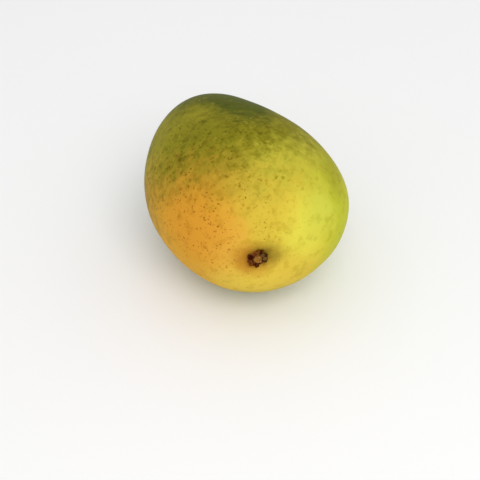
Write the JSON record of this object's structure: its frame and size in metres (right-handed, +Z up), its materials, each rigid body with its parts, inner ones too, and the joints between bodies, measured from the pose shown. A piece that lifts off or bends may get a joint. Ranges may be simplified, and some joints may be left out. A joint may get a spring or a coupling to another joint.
{
  "type": "mango",
  "caption": "Ripe oval mango as picked, lying on its cheek, with a rounded nose, a shallow hollow before it and a dried stem stub in the pit at the blunt end.",
  "frame": {"origin": "on the surface that the fruit rests on, under the middle of its bounding box", "axes": "+Y towards the nose, away from the stem; +X towards the belly side, with the hollow before the nose; +Z up out of the upper cheek"},
  "size_m": [0.0874, 0.1146, 0.0791],
  "materials": {
    "skin": "waxy satin fruit skin, olive green at the nose through yellow to an orange blush, freckled with small brown and green lenticels",
    "stem": "dry, broken stem wood and dark shrivelled knobs"
  },
  "bodies": {
    "root": {"fruit": "skin", "stem_stub": "stem"}
  },
  "joints": []
}
